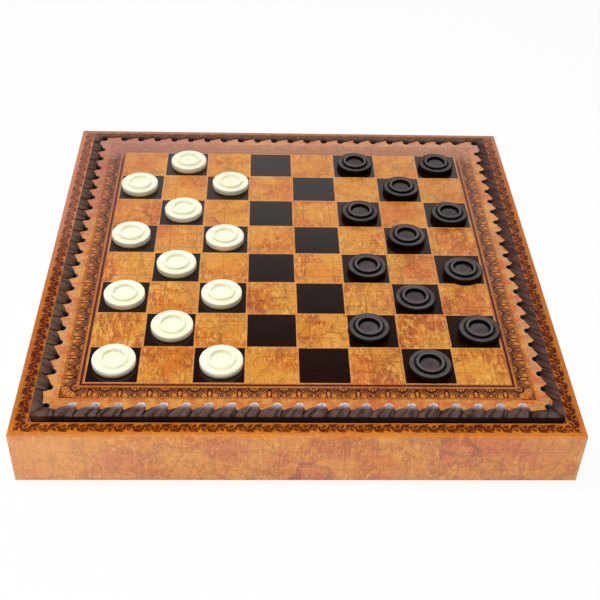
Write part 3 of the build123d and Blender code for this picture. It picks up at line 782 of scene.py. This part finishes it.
def lacingPoints(seed, lit):
    # one side's stitches as a closed skin. For each stitch u runs across it, from its trailing to its leading
    # seam, and a section runs from the hole over the top, the edge and the underside back into the hole.
    # Across the top a line joins a point of the tooth's outline to a point of its foot, so folds fan out
    p, n, count, edge = lacing, lacing["samples"], lacing["perSide"], boardPlan["edge"]
    rng = np.random.default_rng(seed)
    u = np.linspace(0, 1, n)
    holeX = holesAlong(np.arange(count - 1, -1, -1))
    seams = np.append(holeX - p["lean"] - stitchPitch / 2, 0)
    seams[-2] -= p["cornerSpread"]
    seams[1:-1] += rng.uniform(-0.5, 0.5, count - 1) * mm
    leadingY = -holeHalf + p["cornerSpread"] + stitchPitch / 2 - p["lean"]
    straight, radius = edge - boardPlan["cornerRadius"], boardPlan["cornerRadius"]
    seams[-1] = straight + math.pi / 2 * radius + (leadingY + straight)
    # tooth outline: seam valley, hollow, tip, tip, hollow, seam valley
    jitter = rng.uniform(-0.35, 0.35, (count, 2)) * mm
    hole = np.stack([holeX, np.full(count, -holeHalf)], -1) + jitter
    outline = np.zeros((count, 6, 2))
    valleyY = -edge + p["valleyInset"]
    outline[:, 0] = np.stack([seams[:-1], np.full(count, valleyY)], -1)
    outline[:, 5] = np.stack([seams[1:], np.full(count, valleyY)], -1)
    for point, way, inset in ((2, -1, p["tipInset"][0]), (3, 1, p["tipInset"][1])):
        outline[:, point] = np.stack([hole[:, 0] + way * p["tipHalf"], jitter[:, 1] - edge + inset], -1)
    diagonal = p["tipHalf"] / math.sqrt(2)
    corner = np.array([holeHalf, -holeHalf]) + np.array([0.5, -0.5]) * mm
    outline[-1, 2], outline[-1, 3] = corner - diagonal, corner + diagonal
    outline[-1, 5] = edge - p["valleyInset"], leadingY
    outline[:, 1] = outline[:, 0] * 0.5 + outline[:, 2] * 0.5 + np.array([-0.15, 0.25]) * mm
    outline[:, 4] = outline[:, 5] * 0.45 + outline[:, 3] * 0.55 + np.array([0.25, 0.1]) * mm
    outline[-1, 4] = outline[-1, 5] * 0.45 + outline[-1, 3] * 0.55 + np.array([0.1, 0.1]) * mm
    marks = np.array([0, 0.10, 0.20, 0.82, 0.92, 1.0])
    weights = np.stack([np.interp(u, marks, np.eye(6)[i]) for i in range(6)], -1)
    tooth = np.einsum("nj,kjc->knc", weights, outline)
    s = seams[:-1, None] + (seams[1:] - seams[:-1])[:, None] * u
    fade = np.ones(count + 1)
    fade[0] = fade[-1] = 0
    ease = fade[:-1, None] * (1 - u) + fade[1:, None] * u  # the two ends keep to the neighbours' seams
    # folds: each stitch has its own sum of sharp-valleyed waves across it
    waves = np.zeros((count, n))
    for pitch, share in p["folds"]:
        phase, stretchBy = rng.uniform(0, 1, (count, 1)), rng.uniform(0.8, 1.2, (count, 1))
        waves += share * np.abs(np.sin(math.pi * (pitch * stretchBy * u + phase))) ** 0.6
    shade = np.clip((waves - 0.25) / 0.65, 0, 1) * np.clip(np.minimum(u / 0.05, (1 - u) / 0.03), 0, 1)
    waves = (waves - 0.72) * rng.uniform(0.7, 1.2, (count, 1))
    seam = p["seamStep"] * (0.5 * u ** 4 - 0.5 * (1 - u) ** 5)
    dive = np.interp(u, [0.10, 0.24, 0.78, 0.90], [0, 1, 1, 0])
    inward = -edgePath(s)[1]
    plan, level = [], []

    def addRow(place, height):
        plan.append(place)
        level.append(np.broadcast_to(height, (count, n)))

    def face(top, sign, folded, lean):
        # the rows of one face of the board, from the foot of the inner skin out to the rounded edge
        toHole = hole[:, None, :] - tooth
        gap = np.linalg.norm(toHole, axis=-1, keepdims=True)
        inHole = dive[:, None]
        reachIn = inward * (1 - inHole) + inHole * toHole / np.maximum(gap, 0.4 * mm)
        sunk = -sign * p["dive"] * dive
        wide = -toHole * 0.3 * inHole + reachIn * 1.1 * mm * inHole
        rows = [(tooth + (inward * 0.4 * mm - reachIn * 1.1 * mm) * inHole, top + sunk)]
        for width, inside, depth, raised in p["inHole"]:
            rows.append((tooth + wide * width + reachIn * inside * mm * (1 - inHole),
                         top + sunk * depth + sign * raised * mm))
        base, radiusTop = p["thickness"], p["edgeRadius"]
        peak, middle, spread = p["bulge"]
        outer, outward = edgePath(s - p["topLean"] * ease * lean)
        footLine = outer - outward * radiusTop
        for t in p["steps"]:
            t0 = max(t, 0.0)
            place = tooth * (1 - t0) + footLine * t0 + reachIn * (0.35 * mm if t < 0 else 0)
            amount = p["foldHeight"] * (math.exp(-3.2 * t0) * 0.85 + 0.15) * waves
            bulge = peak * math.exp(-((t0 - middle) / spread) ** 2)
            height = base + (amount + seam) * folded + bulge * (sign > 0)
            if sign < 0:
                height = np.minimum(height, base)
            shoulder = p["shoulders"].get(t, 1)
            height = height * (shoulder - 0.25 * dive * (t <= 0))
            rows.append((place, top + sign * height))
        for turn in (22.5, 45, 67.5):
            a = math.radians(turn)
            place = footLine + outward * radiusTop * math.sin(a)
            rows.append((place, top + sign * (height - radiusTop * (1 - math.cos(a)))))
        return rows[::sign]

    topRows = face(boardPlan["fieldLevel"], 1, 1, 1)
    lowRows = face(boardPlan["undersideLevel"], -1, 0.5, -1.5)
    highZ = boardPlan["fieldLevel"] + p["thickness"] - p["edgeRadius"]
    lowZ = boardPlan["undersideLevel"] - p["thickness"] + p["edgeRadius"]
    for place, height in topRows:
        addRow(place, height)
    for share in (0.0, 0.33, 0.67, 1.0):
        outer, outward = edgePath(s - (p["topLean"] + p["sideLean"] * share) * ease)
        swell = (0.16 * waves * (1 - share * 0.5) + seam / mm * 0.25) * mm
        addRow(outer + outward * np.minimum(swell, 0.3 * mm)[..., None], highZ + (lowZ - highZ) * share)
    for place, height in lowRows:
        addRow(place, height)
    # the inner skin lies on the board
    outer, outward = edgePath(s)
    rest = outer - outward * (p["thickness"] - 0.03 * mm)
    addRow(rest, boardPlan["undersideLevel"] - p["gap"])
    addRow(rest, boardPlan["fieldLevel"] + p["gap"])
    plan, level = np.stack(plan), np.stack(level)
    points = np.concatenate([plan, level[..., None]], -1)  # rows, stitches, samples, 3
    # by row: the rows down the edge lose their fold light and so are painted dark, and the rows of the bend
    # into the hole carry painted light and shade
    upright, bend, deep = np.zeros((3, len(plan), 1, 1))
    upright[len(topRows):-len(lowRows) - 2] = 1
    bend[:10, 0, 0] = 1, 1, 1, 1, 1, 1, 1, 0.8, 0.5, 0.2
    deep[:13, 0, 0] = 1, 1, 1, 1, 1, 1, 1, 0.9, 0.75, 0.6, 0.45, 0.3, 0.15
    lit = lit * (np.arange(count) < count - 1)[None, :, None]  # the corner's hole lies in shade
    sheen = bend * dive * lit * rng.uniform(0.6, 1.0, (1, count, 1))
    shaded = deep * np.maximum(dive, 0.35) * (1 - lit)
    shade = shade * (1 - upright)
    return points.reshape(len(plan), count * n, 3), {"foldShading": shade, "sheen": sheen, "shaded": shaded}


def addLacing():
    for quarter, side in enumerate(sideNames):
        points, wear = lacingPoints(lacing["firstSeed"] + quarter, float(side == lacing["litSide"]))
        rows, columns = points.shape[:2]
        faces = gridFaces(rows, columns, closedRows=True).tolist()
        start = [row * columns for row in range(rows)]
        faces += [start, [corner + columns - 1 for corner in start][::-1]]
        addMesh(f"{side}_lace", turnQuarter(points, quarter), faces, "lace_leather", "board",
                wear, [f"{side}_lacing"])


holeLips = {
    "segments": 24, "reach": (1.0 * mm, 0.6 * mm, 0.35 * mm, 0.6 * mm), "crest": 0.3 * mm, "depth": 3.4 * mm,
    "wallRadius": 2.42 * mm, "slope": (1.3 * mm, 0, 0, 0),  # how far the card leans into the hole
    "seed": 5,
    # the section's points: the share that each has in standing out, leaning in, rising and sinking; paleness,
    # lowered deep in the hole as painted shade
    "section": [(1, 0, -0.1, 0, 0.9), (0.8, 0, 0.45, 0, 1), (0.48, 0, 0.95, 0, 1), (0.2, 0, 1, 0, 1),
                (0.05, 0, 0.55, 0, 1), (0, 0.55, 0, 0.25, 0.95), (0, 1, 0, 1, 0.5)],
}


def addHoleLips():
    # the pale card that the punch raised beside each hole: a ring whose section climbs from the cover to a
    # crest and runs down inside the hole. It is widest away from the edge, and nothing under the lace
    p = holeLips
    rng = np.random.default_rng(p["seed"])
    turn = np.linspace(0, 2 * math.pi, p["segments"], endpoint=False)
    side = np.clip(np.sin(turn) * 1.25 - 0.1, 0, 1) ** 0.8  # 1 on the inward side, 0 on the lace's side
    outward, lean, rise, sink, pale = np.array(p["section"]).T[..., None]
    along = holesAlong(np.arange(lacing["perSide"]))
    # painted shade: the card is pale only towards the inward side of each hole
    paler = np.clip(np.sin(turn) * 2.2, 0, 1) * pale
    points, shades = [], []
    atSide = (np.arange(len(along)) > 0)[:, None, None]  # all but the corner's hole
    for quarter in range(4):
        size = rng.uniform(0.65, 1.15, (len(along), 1, 1)) * (1 + 0.18 * np.sin(3 * turn + rng.uniform(0, 6)))
        leaning = p["reach"][quarter] * outward * size - p["slope"][quarter] * lean * atSide
        radius = p["wallRadius"] + 0.05 * mm + leaning * side
        height = p["crest"] * rise * side * size - p["depth"] * sink
        ring = np.stack([along[:, None, None] + radius * np.cos(turn), -holeHalf + radius * np.sin(turn),
                         boardPlan["fieldLevel"] + height + 0 * radius], -1)
        points.append(turnQuarter(ring, quarter).reshape(-1, 3))
        # the corner's hole is painted darker, as shade
        shades.append(np.broadcast_to(paler * (atSide * 0.8 + 0.2), ring.shape[:3]).ravel())
    starts = np.arange(4 * len(along))[:, None, None] * len(rise) * len(turn)
    faces = (gridFaces(len(rise), len(turn), closedColumns=True)[:, ::-1] + starts).reshape(-1, 4)
    addMesh("punched_card_edges", np.concatenate(points), faces, "board_core", "board",
            {"pale": np.concatenate(shades)})


addLacing()
addHoleLips()
print("lacing made")


draught = {
    "segments": 72,
    # radius, height: from the middle of the underside round to the middle of the dish
    "profile": [
        (0, 1.8), (5.0, 1.8), (9.3, 1.8), (9.62, 1.7), (9.7, 1.45), (9.7, 0.35), (9.8, 0.1), (10.05, 0),
        (12.2, 0), (13.3, 0), (13.63, 0.09), (13.84, 0.32), (13.9, 0.62), (13.9, 2.2), (13.9, 3.85),
        (13.86, 4.12), (13.74, 4.33), (13.55, 4.46), (13.3, 4.5), (12.4, 4.52), (11.4, 4.5), (10.45, 4.48),
        (10.26, 4.42), (10.17, 4.25), (10.12, 3.85), (10.0, 3.72), (9.75, 3.68), (9.45, 3.72), (9.30, 3.85),
        (9.22, 4.1), (9.2, 4.8), (9.2, 5.65), (9.12, 5.92), (8.95, 6.06), (8.7, 6.1), (7.7, 6.1),
        (7.45, 6.05), (7.28, 5.9), (7.2, 5.65), (7.05, 5.0), (6.85, 4.0), (6.72, 3.55), (6.5, 3.42)]
        + [(radius, 3.4) for radius in (6.1, 5.5, 5.0, 4.5, 4.0, 3.4, 2.8, 2.2, 1.6, 0.9, 0)],
    "petals": 7, "button": 0.35 * mm,  # of the rosette, and how high its middle stands
    "perSide": 12, "firstSeed": {"white": 0, "black": 100},
}


def draughtPoints(seed):
    # the profile turned about its own axis; the dish carries a low rosette, a cosine of the angle that fades
    # towards the middle and the rim, and fine turning lines
    rng = np.random.default_rng(seed)
    profile = np.array(draught["profile"]) * mm
    turn = np.linspace(0, 2 * math.pi, draught["segments"], endpoint=False) + rng.uniform(0, 2 * math.pi)
    radius, height = profile[1:-1, 0][:, None], profile[1:-1, 1][:, None]
    inDish = (radius < 6.6 * mm) & (height > 3 * mm)
    share = np.clip(radius / (6.2 * mm), 0, 1)
    count = draught["petals"]
    outer = np.abs(np.cos(count * turn)) * np.exp(-((share - 0.80) / 0.14) ** 2)
    inner = np.abs(np.sin(count / 2 * turn)) * np.exp(-((share - 0.45) / 0.15) ** 2)
    rosette = (outer * 0.42 + inner * 0.45 - 0.10 * (share < 0.98)) * mm
    button = draught["button"] * np.exp(-(radius / (1.3 * mm)) ** 2)
    rise = np.where(inDish, rosette + button, 0)
    wobble = 1 + 0.0008 * np.sin(2 * turn + rng.uniform(0, 6))
    rings = np.stack([radius * np.cos(turn) * wobble, radius * np.sin(turn) * wobble, height + rise], -1)
    poles = np.array([[0, 0, profile[0, 1]], [0, 0, profile[-1, 1] + draught["button"]]])
    slope = np.gradient(profile[:, 1]) / np.maximum(np.hypot(*np.gradient(profile, axis=0).T), 1e-6)
    # level is how flat the profile lies and sets the painted sheen; in the dish it is lowered between the
    # rosette's petals as painted shade
    level = (1 - np.abs(slope[1:-1]))[:, None] - inDish * 0.06 * (1 - np.clip((outer + inner) * 1.6, 0, 1))
    # painted highlights on convex corners: where the profile turns left on its way round
    step = np.diff(profile, axis=0)
    heading = np.unwrap(np.arctan2(step[:, 1], step[:, 0]))
    edgeLightening = np.clip(np.diff(heading) / 0.6, 0, 1) * (profile[1:-1, 1] > 5.0 * mm)
    edgeLightening = np.maximum(edgeLightening, 0.8 * (profile[1:-1, 1] > 5.95 * mm))  # the ring's top gets the painted highlight too
    edgeLightening = np.broadcast_to(edgeLightening[:, None], rings.shape[:2])
    return rings, poles, {"level": np.append(level.ravel(), [1, 1]),
                          "edgeLightening": np.append(edgeLightening.ravel(), [0, 0])}


def addDraughts():
    for color, firstSeed in draught["firstSeed"].items():
        for number in range(1, draught["perSide"] + 1):
            node = f"{color}_draught_{number:02d}"
            low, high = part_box(node)
            rings, poles, wear = draughtPoints(number + firstSeed)
            rows, columns = rings.shape[:2]
            points = np.concatenate([rings.reshape(-1, 3), poles])
            points += [(low[0] + high[0]) / 2, (low[1] + high[1]) / 2, low[2]]
            faces = gridFaces(rows, columns, closedColumns=True).tolist()
            last, following = (rows - 1) * columns, [*range(1, columns), 0]
            faces += [[after, c, rows * columns] for c, after in enumerate(following)]
            faces += [[last + c, last + after, rows * columns + 1] for c, after in enumerate(following)]
            finish = f"{color}_draught"
            addMesh(f"{node}_turned", points, faces, finish, node, wear, [node])


addDraughts()
print("draughts made")


# the carried-over parts by their finish
carried = {
    "case_leatherette": ["case_cover"], "board_leatherette": ["upper_cover"],
    "underside_leatherette": ["lower_cover"], "board_core": ["board_core"], "baize": ["base_baize"],
    "lining_felt": ["floor_lining"], "panel_board": ["base_panel"] + [f"{side}_wall" for side in sideNames],
    "ledge_wood": [f"{side}_ledge" for side in sideNames]
    + ["left_divider", "right_divider", "cross_divider"],
}
chessmen = ["king", "queen", "bishops", "knights", "rooks", "pawns"]
for finish, color in (("boxwood", "white"), ("stained_wood", "black")):
    carried[finish] = [f"{color}_{kind}" for kind in chessmen]
for finish, nodes in carried.items():
    for node in nodes:
        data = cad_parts[node].data
        data.materials.clear()
        data.materials.append(materials[finish])
print("finishes given to", sum(map(len, carried.values())), "carried-over parts")
